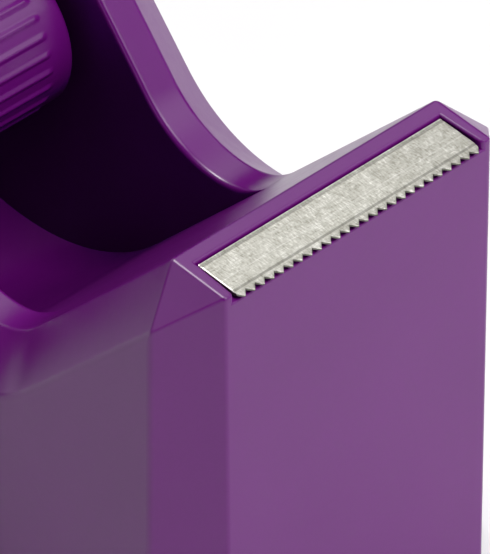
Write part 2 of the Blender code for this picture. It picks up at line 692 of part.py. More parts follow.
def finish_ballast(name, outline, screw_depth, iron):
    """A weight of one profile with its two tapped holes."""
    block = add_object(name, prism(outline, BALLAST_HALF_WIDTH), iron)
    for sign in (-1, 1):
        hole = rod(sign * BALLAST_SCREW_X, screw_depth, PLATE_BOTTOM, PLATE_BOTTOM + SCREW_PILOT_DEPTH,
                   SCREW_RADIUS + FIT_GAP)
        add_boolean(block, add_object(name + "_hole_tool", hole))
    return block


def make_pad(foam):
    """The non-slip foam sheet that the dispenser stands on."""
    plan = floor_plan(WALL_SKIN + PAD_MARGIN, PAD_THICKNESS)
    return add_object("non_slip_pad", plate(plan, 0.0, PAD_THICKNESS), foam)


# ---------------------------------------------------------------- assembly

def add_empty(name, location, parent=None):
    """A frame that moving pieces hang on."""
    empty = bpy.data.objects.new(name, None)
    empty.location = location
    empty.parent = parent
    bpy.context.scene.collection.objects.link(empty)
    return empty


def main():
    clear_scene()
    purple = material("purple_plastic", (0.195, 0.062, 0.245), 0.35)
    steel = material("cutter_steel", (0.62, 0.61, 0.56), 0.35, 1.0)
    bright_steel = material("axle_steel", (0.6, 0.6, 0.6), 0.25, 1.0)
    screw_steel = material("screw_steel", (0.5, 0.5, 0.5), 0.35, 1.0)
    glue = material("adhesive", (0.75, 0.72, 0.6), 0.8)
    black = material("base_plastic", (0.03, 0.03, 0.035), 0.5)
    iron = material("cast_iron", (0.12, 0.12, 0.12), 0.7, 0.6)
    foam = material("pad_foam", (0.02, 0.02, 0.02), 0.95)
    make_body_shell(purple)
    make_cutter(steel)
    make_cutter_adhesive(glue)
    axle_frame = add_empty("axle_frame", world(0.0, HUB_DEPTH, HUB_HEIGHT))
    hub_frame = add_empty("hub_frame", (0.0, 0.0, 0.0), axle_frame)
    make_hub_axle(bright_steel, axle_frame)
    make_hub_drum(purple, hub_frame)
    make_hub_cap(purple, hub_frame)
    make_base_plate(black)
    make_screws(screw_steel)
    make_ballast_front(iron)
    make_ballast_rear(iron)
    make_pad(foam)


main()
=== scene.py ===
import math

import bmesh
import bpy
from mathutils import Matrix, Vector

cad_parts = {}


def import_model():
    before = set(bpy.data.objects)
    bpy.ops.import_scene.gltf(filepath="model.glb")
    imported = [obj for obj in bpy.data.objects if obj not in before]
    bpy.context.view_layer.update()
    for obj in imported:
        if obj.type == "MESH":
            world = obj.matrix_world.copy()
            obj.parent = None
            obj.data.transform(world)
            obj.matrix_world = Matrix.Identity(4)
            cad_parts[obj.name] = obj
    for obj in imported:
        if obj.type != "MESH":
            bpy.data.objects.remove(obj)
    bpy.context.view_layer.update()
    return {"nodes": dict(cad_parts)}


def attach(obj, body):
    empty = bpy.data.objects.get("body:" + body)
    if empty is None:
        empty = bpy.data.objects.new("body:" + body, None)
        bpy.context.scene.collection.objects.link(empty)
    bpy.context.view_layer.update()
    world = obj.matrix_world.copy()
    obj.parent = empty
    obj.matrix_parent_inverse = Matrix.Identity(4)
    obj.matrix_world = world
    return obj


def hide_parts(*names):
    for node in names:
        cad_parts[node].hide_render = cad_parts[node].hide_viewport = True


MM = 0.001

# The body's driving dimensions, the same as in the CAD source
BODY_LENGTH = 114.0 * MM
TOWER_HEIGHT = 62.0 * MM
HOUSING_HEIGHT = 76.0 * MM
FRAME_HALF_WIDTH = 19.5 * MM
SIDE_HALF_WIDTH = 25.1 * MM
SIDE_DRAFT = math.radians(0.8)
# Depths, and how far the sloping band falls there for each unit of its width
BAND_RATIOS = ((8.0 * MM, 1.0), (20.0 * MM, 0.96), (38.0 * MM, 0.83), (50.0 * MM, 0.88), (90.0 * MM, 0.88),
               (106.0 * MM, 1.0))
TOWER_DEPTH = 8.1 * MM
TOP_RISE = 0.76 * MM
WALL_SKIN = 2.5 * MM
TOWER_TOP_SKIN = 5.0 * MM
SHELL_BOTTOM = 1.0 * MM
VALLEY_HEIGHT = 37.8 * MM
VALLEY_RADIUS = 11.4 * MM
SWEEP_START = 37.9 * MM
SWEEP_RADIUS = 14.5 * MM
SWEEP_ANGLE = 51.0
SLOPE_ANGLE = 45.0
HOUSING_FRONT_RADIUS = 9.0 * MM
HOUSING_BACK_RADIUS = 34.0 * MM
WELL_HALF_WIDTH = 15.2 * MM
HUB_DEPTH = 69.5 * MM
HUB_HEIGHT = 44.1 * MM
DRUM_RADIUS = 10.1 * MM
DRUM_HALF_LENGTH = 13.7 * MM
DRUM_WALL = 1.8 * MM
DRUM_END_RADIUS = 0.9 * MM
DRUM_FLOOR = 2.0 * MM
PLUG_LENGTH = 4.0 * MM
RIB_COUNT = 28
RIB_HEIGHT = 0.25 * MM
RIB_HALF_LENGTH = 10.6 * MM
RIB_TAPER = 1.2 * MM
AXLE_RADIUS = 2.0 * MM
AXLE_HALF_LENGTH = 17.6 * MM
AXLE_FLAT = 1.5 * MM
AXLE_FLAT_GAP = 0.6 * MM
AXLE_BEVEL = 0.4 * MM
BEARING_RADIUS = 2.08 * MM
BEARING_BOSS_RADIUS = 4.2 * MM
BEARING_BOSS_LENGTH = 5.0 * MM
SLOT_HALF_WIDTH = 1.8 * MM
SLOT_END = 17.9 * MM
SLOT_FLARE_HEIGHT = 62.0 * MM
SLOT_MOUTH_HEIGHT = 80.0 * MM
SLOT_MOUTH_HALF_WIDTH = 4.68 * MM
SLOT_PAD_HALF_WIDTH = 4.8 * MM
SLOT_PAD_END = 20.4 * MM
SEAT_DEPTH = 1.15 * MM
SEAT_BACK = TOWER_DEPTH - 1.95 * MM
SEAT_REAR_HALF_WIDTH = 18.05 * MM
SEAT_FRONT_HALF_WIDTH = 18.35 * MM
CUTTER_HALF_WIDTH = 17.9 * MM
CUTTER_TOP = 0.25 * MM
CUTTER_THICKNESS = 0.5 * MM
CUTTER_BACK = 5.9 * MM
CUTTER_ROOT = 0.2 * MM
TOOTH_OVERHANG = 0.6 * MM
TOOTH_COUNT = 26
TOOTH_LENGTH = CUTTER_ROOT + TOOTH_OVERHANG
FIT_GAP = 0.3 * MM
PLATE_TOP = 4.0 * MM
BOSS_RADIUS = 3.2 * MM
BOSS_TOP = 18.0 * MM
BOSS_X = 20.6 * MM
BOSS_DEPTHS = (12.0 * MM, 103.0 * MM)
PILOT_RADIUS = 1.55 * MM
PILOT_TOP = 13.5 * MM

# How far cutting tools reach past the material
CAVITY_REACH = 2.0 * MM
ROOF_REACH = 5.0 * MM
PILOT_REACH = 1.0 * MM
SEAT_REACH_UP = 1.0 * MM
SEAT_REACH_OUT = 0.4 * MM
SEAT_REACH_AHEAD = 0.8 * MM
SEAT_REACH_DOWN = 0.3 * MM
SEAT_REACH_ASIDE = 0.6 * MM

# From a rib's crest to its foot, as a share of the pitch: rounded ribs, a little wider than the CAD's
RIB_FOOT = 0.28

# Rounded and bevelled edges
EDGE_FILLET = 0.36 * MM
SIDE_FILLET = 0.55 * MM
RIM_FILLET = 0.75 * MM
SEAT_FILLET = 0.32 * MM
SEAT_END_FILLET = 0.5 * MM
SEAT_LIP_FILLET = 0.2 * MM
BORE_BEVEL = 0.2 * MM
DRUM_MOUTH_BEVEL = 0.1 * MM
PLUG_BEVEL = 0.3 * MM
AXLE_BLEND = 0.4 * MM

# The most of a short edge or of the band's width that one rounded edge may take up
EDGE_SHARE = 0.45
BAND_SHARE = 0.4

# How finely round shapes are cut
FINENESS = 4
FILLET_STEPS = 5
VALLEY_STEPS = 4
SWEEP_STEPS = 6
RISE_STEPS = 6
CROWN_STEPS = 5
BACK_STEPS = 4
REAR_STEPS = 6
FLOOR_STEPS = 12
LINING_STEPS = 18
SEAT_ANGLES = (0, 18, 36, 54, 72, 88)
SEAT_END_ANGLES = (0, 18, 36, 54, 72, 86)
DRUM_SEGMENTS = 16 * RIB_COUNT
DRUM_END_STEPS = 8
RIB_END_STEPS = 8
CAP_SEGMENTS = 128
AXLE_SEGMENTS = 64
SCREW_SEGMENTS = 16
# How often the band's fall is worked out again from where it puts the side's edge
FALL_PASSES = 3

# The cutter's surface across the strip, as depth behind the front and drop under its top in millimetres:
# the curled rear edge, the dip beside it, a faint line halfway and the step at the tooth roots
CUTTER_SECTION = ((5.90, 0.14), (5.885, 0.06), (5.85, 0.015), (5.78, 0.0), (5.66, 0.01), (5.56, 0.045),
                  (5.47, 0.06), (5.38, 0.045), (5.28, 0.01), (5.15, 0.0), (2.62, 0.0), (2.50, 0.012),
                  (2.38, 0.0), (0.74, 0.0), (0.66, 0.015), (0.60, 0.075), (0.54, 0.085))
# From there down the ground teeth: share of the way to the tooth's edge, and drop in millimetres
TOOTH_SLOPE = ((0.35, 0.09), (0.8, 0.10), (0.93, 0.115), (1.0, 0.16))
TOOTH_FACE_DROP = 0.36 * MM
TOOTH_FACE_BACK = 0.015 * MM
TOOTH_TIP_HALF_WIDTH = 0.035 * MM
TOOTH_TIP_BACK = 0.06 * MM
TOOTH_SHARES = (0.25, 0.5)
CUTTER_END_BEVEL = 0.08 * MM
CUTTER_END_DROP = 0.05 * MM
CUTTER_CORNER_DEPTH = 0.55 * MM
CUTTER_CORNER_SLANT = 0.45

FRONT_Y = (TOOTH_OVERHANG - BODY_LENGTH) / 2
SLOPE_SUM = TOWER_DEPTH + TOWER_HEIGHT + TOP_RISE
CHAMFER = SIDE_HALF_WIDTH - FRAME_HALF_WIDTH
CORNER = (CHAMFER, SLOPE_SUM - CHAMFER * math.sqrt(2) - CHAMFER)
WELL_RADIUS = (HUB_DEPTH + HUB_HEIGHT - SLOPE_SUM) / math.sqrt(2)
WELL_REAR = HUB_DEPTH + WELL_RADIUS


# ---------------------------------------------------------------- mesh tools

MERGE_DISTANCE = 0.002 * MM
TINY = 1e-9
SAME_PLACE = 1e-6
FLAT_FACE_WEIGHT = 60
SMOOTH_ANGLE = 30
CUTTER_SMOOTH_ANGLE = 35


class Mesh:
    """A mesh under construction that merges points in the same place."""

    def __init__(self):
        self.bm = bmesh.new()
        self.found = {}

    def vert(self, point):
        key = tuple(round(value / MERGE_DISTANCE) for value in point)
        if key not in self.found:
            self.found[key] = self.bm.verts.new(point)
        return self.found[key]

    def face(self, points):
        """Add a face, unless its points fall together on a line or a point."""
        corners = []
        for point in points:
            vert = self.vert(point)
            if not corners or corners[-1] is not vert:
                corners.append(vert)
        if len(corners) > 1 and corners[0] is corners[-1]:
            corners.pop()
        if len(set(corners)) < 3:
            return
        self.bm.faces.new(corners)

    def strip(self, first, second, closed=False):
        """Add faces between two lines with as many points each, or between two rings."""
        count = len(first)
        for i in range(count if closed else count - 1):
            j = (i + 1) % count
            self.face((first[i], first[j], second[j], second[i]))

    def triangulate(self, corners):
        """Cut the faces with at least that many corners into triangles."""
        self.bm.normal_update()
        faces = [face for face in self.bm.faces if len(face.verts) >= corners]
        bmesh.ops.triangulate(self.bm, faces=faces, ngon_method="EAR_CLIP")

    def finish(self, name):
        """Turn the mesh into an object of the scene."""
        bmesh.ops.recalc_face_normals(self.bm, faces=self.bm.faces)
        mesh = bpy.data.meshes.new(name)
        self.bm.to_mesh(mesh)
        self.bm.free()
        mesh.shade_smooth()
        obj = bpy.data.objects.new(name, mesh)
        bpy.context.scene.collection.objects.link(obj)
        return obj


def world(x, depth, height):
    """A world point from its depth behind the body's front face."""
    return (x, FRONT_Y + depth, height)


def mix(a, b, share):
    return tuple(p + (q - p) * share for p, q in zip(a, b))


def bezier(a, b, c):
    """Points on the curve from a to c that leaves and arrives along the lines to b."""
    points = []
    for i in range(FILLET_STEPS + 1):
        share = i / FILLET_STEPS
        points.append(mix(mix(a, b, share), mix(b, c, share), share))
    return points


def toward(a, b, distance):
    """The point at a distance from a on the way to b."""
    length = math.dist(a, b)
    return a if length < TINY else mix(a, b, distance / length)


def arc(center, radius, start, end, steps):
    points = []
    for i in range(steps + 1):
        angle = math.radians(start + (end - start) * i / steps)
        points.append((center[0] + radius * math.cos(angle), center[1] + radius * math.sin(angle)))
    return points


def inward_normal(p, q):
    run = math.dist(p, q)
    return ((q[1] - p[1]) / run, (p[0] - q[0]) / run)


def inset(points, distances):
    """Move an open profile inwards by one distance for each point, keeping its runs parallel."""
    moved = []
    last = len(points) - 1
    for i, point in enumerate(points):
        before = inward_normal(points[max(i - 1, 0)], points[max(i, 1)])
        after = inward_normal(points[min(i, last - 1)], points[min(i + 1, last)])
        miter = distances[i] / (1 + before[0] * after[0] + before[1] * after[1])
        moved.append((point[0] + (before[0] + after[0]) * miter, point[1] + (before[1] + after[1]) * miter))
    return moved


def cut(obj, tool):
    modifier = obj.modifiers.new(tool.name, "BOOLEAN")
    modifier.operation = "DIFFERENCE"
    modifier.solver = "EXACT"
    modifier.object = tool


def bake(obj, name):
    """A new object with the modifiers of obj applied."""
    graph = bpy.context.evaluated_depsgraph_get()
    mesh = bpy.data.meshes.new_from_object(obj.evaluated_get(graph))
    mesh.name = name
    made = bpy.data.objects.new(name, mesh)
    bpy.context.scene.collection.objects.link(made)
    return made


def discard(obj):
    bpy.data.objects.remove(obj, do_unlink=True)


def soften(obj, angle=SMOOTH_ANGLE):
    """Smooth shading that stays flat on flat faces and breaks at sharp edges."""
    obj.data.shade_smooth()
    obj.data.set_sharp_from_angle(angle=math.radians(angle))
    modifier = obj.modifiers.new("weighted_normals", "WEIGHTED_NORMAL")
    modifier.mode = "FACE_AREA"
    modifier.keep_sharp = True
    modifier.weight = FLAT_FACE_WEIGHT


# ---------------------------------------------------------------- body

def side_half_width(height):
    """Half the body's width at a height: the sides lean out downwards."""
    return SIDE_HALF_WIDTH + (CORNER[1] - height) * math.tan(SIDE_DRAFT)


def band_ratio(depth):
    """How steep the sloping band is at a depth, as its fall for each unit of its width."""
    if depth <= BAND_RATIOS[0][0]:
        return BAND_RATIOS[0][1]
    for (start, low), (end, high) in zip(BAND_RATIOS, BAND_RATIOS[1:]):
        if depth <= end:
            return low + (high - low) * (depth - start) / (end - start)
    return BAND_RATIOS[-1][1]


def rim_profile(fine):
    """The rim in side view from the front foot to the rear foot.

    The numbers of the well's first and last points on it come with it, and the point where the well ends.
    """
    slope_foot = SLOPE_SUM - VALLEY_HEIGHT
    valley_start = slope_foot + VALLEY_RADIUS * math.tan(math.radians(SLOPE_ANGLE / 2))
    valley_center = (valley_start, VALLEY_HEIGHT + VALLEY_RADIUS)
    sweep_center = (SWEEP_START, VALLEY_HEIGHT + SWEEP_RADIUS)
    sweep = arc(sweep_center, SWEEP_RADIUS, -90, SWEEP_ANGLE - 90, SWEEP_STEPS * fine)
    rise = HOUSING_HEIGHT - sweep[-1][1]
    crown = sweep[-1][0] + rise / math.tan(math.radians(SWEEP_ANGLE))
    crown_end = crown + HOUSING_FRONT_RADIUS * math.tan(math.radians(SWEEP_ANGLE / 2))
    crown_center = (crown_end, HOUSING_HEIGHT - HOUSING_FRONT_RADIUS)
    back_center = (BODY_LENGTH - HOUSING_BACK_RADIUS, HOUSING_HEIGHT - HOUSING_BACK_RADIUS)
    points = [(0.0, SHELL_BOTTOM), (0.0, TOWER_HEIGHT), (TOWER_DEPTH, TOWER_HEIGHT + TOP_RISE)]
    mouth = len(points)
    points += arc(valley_center, VALLEY_RADIUS, -90 - SLOPE_ANGLE, -90, VALLEY_STEPS * fine)
    points += sweep
    crown_arc = arc(crown_center, HOUSING_FRONT_RADIUS, 90 + SWEEP_ANGLE, 90, CROWN_STEPS * fine)
    for i in range(1, RISE_STEPS):
        points.append(mix(sweep[-1], crown_arc[0], i / RISE_STEPS))
    points += crown_arc
    rear_angle = math.degrees(math.acos((WELL_REAR - back_center[0]) / HOUSING_BACK_RADIUS))
    rim_end = rear_angle - math.degrees(RIM_FILLET / HOUSING_BACK_RADIUS)
    points += arc(back_center, HOUSING_BACK_RADIUS, 90, rim_end, BACK_STEPS * fine)[1:]
    rear = len(points) - 1
    points += arc(back_center, HOUSING_BACK_RADIUS, rim_end, 0, REAR_STEPS * fine)[1:]
    points.append((BODY_LENGTH, SHELL_BOTTOM))
    rear_edge = arc(back_center, HOUSING_BACK_RADIUS, rear_angle, rear_angle, 1)[0]
    return points, mouth, rear, rear_edge


def band_fall(depth, height):
    """How far the sloping band falls between the rim and the side's edge at a place on that edge."""
    return band_ratio(depth) * (side_half_width(height) - FRAME_HALF_WIDTH)


def side_profile(rim):
    """The side's upper edge: the rim moved in by the band's fall, which depends on where that edge lies."""
    side = rim
    for _ in range(FALL_PASSES):
        side = inset(rim, [band_fall(depth, height) for depth, height in side])
    side[1] = CORNER
    side[2] = CORNER
    side[0] = (side[0][0], SHELL_BOTTOM)
    side[-1] = (side[-1][0], SHELL_BOTTOM)
    return side


def round_corners(row, size):
    """Replace the two sharp corners of the tower's top by short curves."""
    rounded = [row[0]]
    for i in (1, 2):
        before = toward(row[i], row[i - 1], min(size, EDGE_SHARE * math.dist(row[i], row[i - 1])))
        after = toward(row[i], row[i + 1], min(size, EDGE_SHARE * math.dist(row[i], row[i + 1])))
        rounded += bezier(before, row[i], after)
    return rounded + row[3:]


def outer_rows(rim, side):
    """Lines along the body: over the rim's rounded edge, down the band and over the side's rounded edge."""
    thin = side[:2] + side[3:]
    deep = inset(thin, [SIDE_FILLET] * len(thin))
    deep = deep[:2] + [deep[1]] + deep[2:]
    deep[0] = (deep[0][0], SHELL_BOTTOM)
    deep[-1] = (deep[-1][0], SHELL_BOTTOM)
    columns = []
    for rim_point, side_point, deep_point in zip(rim, side, deep):
        edge = (FRAME_HALF_WIDTH, *rim_point)
        foot = (side_half_width(side_point[1]), *side_point)
        inner = (side_half_width(deep_point[1]), *deep_point)
        band = math.dist(edge, foot)
        first = bezier((FRAME_HALF_WIDTH - EDGE_FILLET, *rim_point), edge,
                       toward(edge, foot, min(EDGE_FILLET, BAND_SHARE * band)))
        second = bezier(toward(foot, edge, min(SIDE_FILLET, BAND_SHARE * band)), foot, inner)
        columns.append(first + second)
    rows = [list(row) for row in zip(*columns)]
    return [round_corners(row, EDGE_FILLET) for row in rows]


def floor_height(depth):
    """Height of the well's slope or round floor at a depth."""
    tangent = HUB_DEPTH - WELL_RADIUS / math.sqrt(2)
    if depth < tangent:
        return SLOPE_SUM - depth
    across = min(abs(depth - HUB_DEPTH), WELL_RADIUS)
    return HUB_HEIGHT - math.sqrt(WELL_RADIUS ** 2 - across ** 2)


def placed(point, sign):
    """A point of (distance from the middle, depth, height), on the right or, with sign -1, on the left."""
    return world(sign * point[0], point[1], point[2])


def well_edge(rim, mouth, rear, rear_edge):
    """The rounded edge round the well: a column of points from rim to wall for each place along it."""
    columns = []
    moved = inset(rim, [1.0] * len(rim))
    for i in range(mouth, rear):
        wall = rim[i][1] - floor_height(rim[i][0])
        size = min(RIM_FILLET, EDGE_SHARE * max(wall, 0.0))
        edge = (WELL_HALF_WIDTH, *rim[i])
        out = (WELL_HALF_WIDTH + size, *rim[i])
        normal = (moved[i][0] - rim[i][0], moved[i][1] - rim[i][1])
        share = size / math.hypot(*normal)
        below = (WELL_HALF_WIDTH, rim[i][0] + share * normal[0], rim[i][1] + share * normal[1])
        columns.append(bezier(out, edge, below))
    rear_out = (WELL_HALF_WIDTH + RIM_FILLET, *rim[rear])
    rear_low = (WELL_HALF_WIDTH, WELL_REAR, rear_edge[1] - RIM_FILLET)
    columns.append(bezier(rear_out, (WELL_HALF_WIDTH, *rear_edge), rear_low))
    return columns


def add_rim(made, flat, low, high, columns):
    """The flat faces across the body, which leave out the well between the points numbered low and high."""
    for i in range(len(flat) - 1):
        if low <= i < high:
            near, far = columns[i - low][0], columns[i - low + 1][0]
            for sign in (-1, 1):
                made.face([placed(point, sign) for point in (near, far, flat[i + 1], flat[i])])
            continue
        corners = [placed(flat[i], -1), placed(flat[i], 1), placed(flat[i + 1], 1), placed(flat[i + 1], -1)]
        if i + 1 == low:
            corners[3:3] = [placed(columns[0][0], 1), placed(columns[0][0], -1)]
        if i == high:
            corners[1:1] = [placed(columns[-1][0], -1), placed(columns[-1][0], 1)]
        made.face(corners)


def add_well(made, columns, fine):
    """The well's rounded edge, its two walls, its back and its floor."""
    rear_low = columns[-1][-1]
    round_floor = arc((HUB_DEPTH, HUB_HEIGHT), WELL_RADIUS, 180 + SLOPE_ANGLE, 360, FLOOR_STEPS * fine)
    floor = [(WELL_HALF_WIDTH, *point) for point in round_floor] + [rear_low]
    for sign in (-1, 1):
        lines = [[placed(point, sign) for point in line] for line in zip(*columns)]
        for first, second in zip(lines, lines[1:]):
            made.strip(first, second)
        wall = [column[-1] for column in columns] + floor[-2::-1]
        made.face([placed(point, sign) for point in wall])
    bottom = [columns[0][-1]] + floor
    for line in (columns[-1], bottom):
        made.strip([placed(point, -1) for point in line], [placed(point, 1) for point in line])


def make_solid(fine):
    """The body's outside and its tape well as one closed solid with rounded edges."""
    rim, mouth, rear, rear_edge = rim_profile(fine)
    rows = outer_rows(rim, side_profile(rim))
    shift = len(rows[0]) - len(rim)
    columns = well_edge(rim, mouth, rear, rear_edge)
    made = Mesh()
    for sign in (-1, 1):
        lines = [[placed(point, sign) for point in row] for row in rows]
        for first, second in zip(lines, lines[1:]):
            made.strip(first, second)
        made.face(lines[-1])
    add_rim(made, rows[0], mouth + shift, rear + shift, columns)
    add_well(made, columns, fine)
    foot = [placed(row[0], -1) for row in reversed(rows)] + [placed(row[0], 1) for row in rows]
    foot += [placed(row[-1], 1) for row in reversed(rows)] + [placed(row[-1], -1) for row in rows]
    made.face(foot)
    made.triangulate(5)
    return made.finish("body_solid")


def prism(points, half_width):
    """An outline in side view, drawn out to the same distance on both sides."""
    made = Mesh()
    left = [world(-half_width, *point) for point in points]
    right = [world(half_width, *point) for point in points]
    made.face(left)
    made.face(right)
    made.strip(left, right, closed=True)
    return made


def chamfered_prism(rim, side, rim_half_width, side_width):
    """A solid between two side faces and the rim, with a sloping band between them on each side."""
    made = Mesh()
    lines = []
    for sign in (-1, 1):
        outer = [world(sign * side_width(point[1]), *point) for point in side]
        inner = [world(sign * rim_half_width, *point) for point in rim]
        made.face(outer)
        made.strip(outer, inner)
        lines.append((outer, inner))
    (left_side, left_rim), (right_side, right_rim) = lines
    made.strip(left_rim, right_rim)
    made.face((left_side[0], left_rim[0], right_rim[0], right_side[0],
               right_side[-1], right_rim[-1], left_rim[-1], left_side[-1]))
    made.triangulate(4)
    return made


def upright(x, depth, low, high, radius):
    """A standing cylinder."""
    made = Mesh()
    rings = []
    for height in (low, high):
        ring = []
        for i in range(SCREW_SEGMENTS):
            angle = 2 * math.pi * (i + 0.5) / SCREW_SEGMENTS
            ring.append(world(x + radius * math.cos(angle), depth + radius * math.sin(angle), height))
        rings.append(ring)
    made.strip(*rings, closed=True)
    made.face(rings[0])
    made.face(rings[1])
    return made


def inner_half_width(height):
    """Half the hollow's width at a height."""
    return side_half_width(height) - WALL_SKIN


def make_cavity():
    """The hollow under the moulding, less the well's lining, the slot pads and the screw bosses."""
    rim = rim_profile(1)[0]
    rim = inset(rim, [WALL_SKIN] * len(rim))
    top = TOWER_HEIGHT - TOWER_TOP_SKIN
    below = SHELL_BOTTOM - CAVITY_REACH
    rim[0] = (WALL_SKIN, below)
    rim[1] = (WALL_SKIN, top)
    rim[2] = (SLOPE_SUM - WALL_SKIN * math.sqrt(2) - top, top)
    rim[-1] = (BODY_LENGTH - WALL_SKIN, below)
    inner = FRAME_HALF_WIDTH - WALL_SKIN * math.tan(math.radians(SLOPE_ANGLE / 2))
    side = inset(rim, [SIDE_HALF_WIDTH - WALL_SKIN - inner] * len(rim))
    cavity = chamfered_prism(rim, side, inner, inner_half_width).finish("cavity")
    radius = WELL_RADIUS + WALL_SKIN
    roof = HOUSING_HEIGHT + ROOF_REACH
    floor = arc((HUB_DEPTH, HUB_HEIGHT), radius, 180 + SLOPE_ANGLE, 360, LINING_STEPS)
    lining = [(TOWER_DEPTH, roof), (TOWER_DEPTH, floor[0][0] + floor[0][1] - TOWER_DEPTH)] + floor
    lining.append((HUB_DEPTH + radius, roof))
    low = HUB_HEIGHT - 2 * SLOT_PAD_HALF_WIDTH
    pad = [(HUB_DEPTH - SLOT_PAD_HALF_WIDTH, low), (HUB_DEPTH + SLOT_PAD_HALF_WIDTH, low),
           (HUB_DEPTH + SLOT_PAD_HALF_WIDTH, roof), (HUB_DEPTH - SLOT_PAD_HALF_WIDTH, roof)]
    tools = [prism(lining, WELL_HALF_WIDTH + WALL_SKIN).finish("lining_tool")]
    tools.append(prism(pad, SLOT_PAD_END).finish("pad_tool"))
    for depth in BOSS_DEPTHS:
        for sign in (-1, 1):
            boss = upright(sign * BOSS_X, depth, PLATE_TOP + FIT_GAP, BOSS_TOP, BOSS_RADIUS)
            tools.append(boss.finish("boss_tool"))
    for tool in tools:
        cut(cavity, tool)
    made = bake(cavity, "cavity_tool")
    for obj in [cavity] + tools:
        discard(obj)
    return made


def top_height(depth):
    """Height of the tower's top, which rises slightly to the rear."""
    return TOWER_HEIGHT + depth * TOP_RISE / TOWER_DEPTH


def rounding(radius, angle):
    """How far a rounded edge has come at an angle: out from the wall and down from the top."""
    turn = math.radians(angle)
    return radius * (1 - math.cos(turn)), radius * (1 - math.sin(turn))


def seat_stations():
    """Places along the recess from its rear edge forwards: depth, the floor's drop, and extra half width."""
    stations = []
    for angle in reversed(SEAT_ANGLES):
        out, drop = rounding(SEAT_FILLET, angle)
        stations.append((SEAT_BACK + out, drop, 0.0))
    stations.append((SEAT_BACK, SEAT_DEPTH, 0.0))
    stations.append((SEAT_BACK / 2, SEAT_DEPTH, 0.0))
    for angle in SEAT_END_ANGLES:
        widen, depth = rounding(SEAT_END_FILLET, angle)
        lip = max(0.0, SEAT_LIP_FILLET - depth)
        fall = SEAT_LIP_FILLET - math.sqrt(SEAT_LIP_FILLET ** 2 - lip ** 2)
        stations.append((depth, SEAT_DEPTH + fall, widen))
    stations.append((-SEAT_REACH_AHEAD, SEAT_DEPTH + SEAT_LIP_FILLET + SEAT_REACH_DOWN,
                     SEAT_END_FILLET + SEAT_REACH_ASIDE))
    return stations


def make_seat():
    """The tool for the cutter's recess: its walls flare into rounded edges at the top and the front."""
    flare = [rounding(SEAT_FILLET, angle) for angle in SEAT_ANGLES]
    made = Mesh()
    rings = []
    for depth, floor, widen in seat_stations():
        share = min(max(depth / SEAT_BACK, 0.0), 1.0)
        half = SEAT_FRONT_HALF_WIDTH + (SEAT_REAR_HALF_WIDTH - SEAT_FRONT_HALF_WIDTH) * share + widen
        edge = [(half, floor)] + [(half + out, min(drop, floor)) for out, drop in flare]
        edge.append((half + SEAT_FILLET + SEAT_REACH_OUT, -SEAT_REACH_UP))
        ring = [world(-x, depth, top_height(depth) - drop) for x, drop in reversed(edge)]
        ring += [world(x, depth, top_height(depth) - drop) for x, drop in edge]
        rings.append(ring)
    for first, second in zip(rings, rings[1:]):
        made.strip(first, second, closed=True)
    made.face(rings[0])
    made.face(rings[-1])
    made.triangulate(4)
    return made.finish("seat_tool")


def make_slots():
    """The two upright slots that the axle drops into, with flared mouths."""
    bottom = HUB_HEIGHT - AXLE_RADIUS - FIT_GAP
    right = [(SLOT_HALF_WIDTH, bottom), (SLOT_HALF_WIDTH, SLOT_FLARE_HEIGHT),
             (SLOT_MOUTH_HALF_WIDTH, SLOT_MOUTH_HEIGHT)]
    outline = [(HUB_DEPTH + across, height) for across, height in right]
    outline += [(HUB_DEPTH - across, height) for across, height in reversed(right)]
    return prism(outline, SLOT_END).finish("slot_tool")


def make_body():
    """The moulded body, hollow underneath, with its recess, slots and pilot holes."""
    solid = make_solid(FINENESS)
    tools = [make_cavity(), make_slots(), make_seat()]
    for depth in BOSS_DEPTHS:
        for sign in (-1, 1):
            low = PLATE_TOP + FIT_GAP - PILOT_REACH
            pilot = upright(sign * BOSS_X, depth, low, PILOT_TOP, PILOT_RADIUS)
            tools.append(pilot.finish("pilot_tool"))
    for tool in tools:
        cut(solid, tool)
    body = bake(solid, "moulded_body")
    for obj in [solid] + tools:
        discard(obj)
    soften(body)
    return body


# ---------------------------------------------------------------- cutter

def tooth_edge():
    """The strip's toothed front edge from left to right, as (x, depth)."""
    pitch = 2 * CUTTER_HALF_WIDTH / TOOTH_COUNT
    tip = TOOTH_TIP_BACK - TOOTH_OVERHANG
    points = []
    for i in range(TOOTH_COUNT):
        start = -CUTTER_HALF_WIDTH + i * pitch
        points.append((start, CUTTER_ROOT))
        for share in TOOTH_SHARES:
            points.append((start + pitch / 2 * share, CUTTER_ROOT - TOOTH_LENGTH * share))
        points.append((start + pitch / 2 - TOOTH_TIP_HALF_WIDTH, tip))
        points.append((start + pitch / 2 + TOOTH_TIP_HALF_WIDTH, tip))
        for share in reversed(TOOTH_SHARES):
            points.append((start + pitch - pitch / 2 * share, CUTTER_ROOT - TOOTH_LENGTH * share))
    points.append((CUTTER_HALF_WIDTH, CUTTER_ROOT))
    worn = CUTTER_HALF_WIDTH - CUTTER_END_BEVEL
    worn_depth = CUTTER_ROOT - TOOTH_LENGTH * CUTTER_END_BEVEL / (pitch / 2)
    return sorted(points + [(-worn, worn_depth), (worn, worn_depth)])


def end_shift(x, depth):
    """The strip's front corners are cut off."""
    if abs(abs(x) - CUTTER_HALF_WIDTH) > SAME_PLACE:
        return x
    cut_back = max(0.0, CUTTER_CORNER_DEPTH - depth) * CUTTER_CORNER_SLANT
    return x - math.copysign(cut_back, x)


def end_drop(x):
    """Worn edges at the strip's two ends."""
    from_end = CUTTER_HALF_WIDTH - abs(x)
    return CUTTER_END_DROP * max(0.0, 1 - from_end / CUTTER_END_BEVEL)


def cutter_point(x, depth, drop):
    """A point on the strip's upper side, as x, depth and drop under the top of the tower."""
    return (end_shift(x, depth), depth, CUTTER_TOP + drop + end_drop(x))


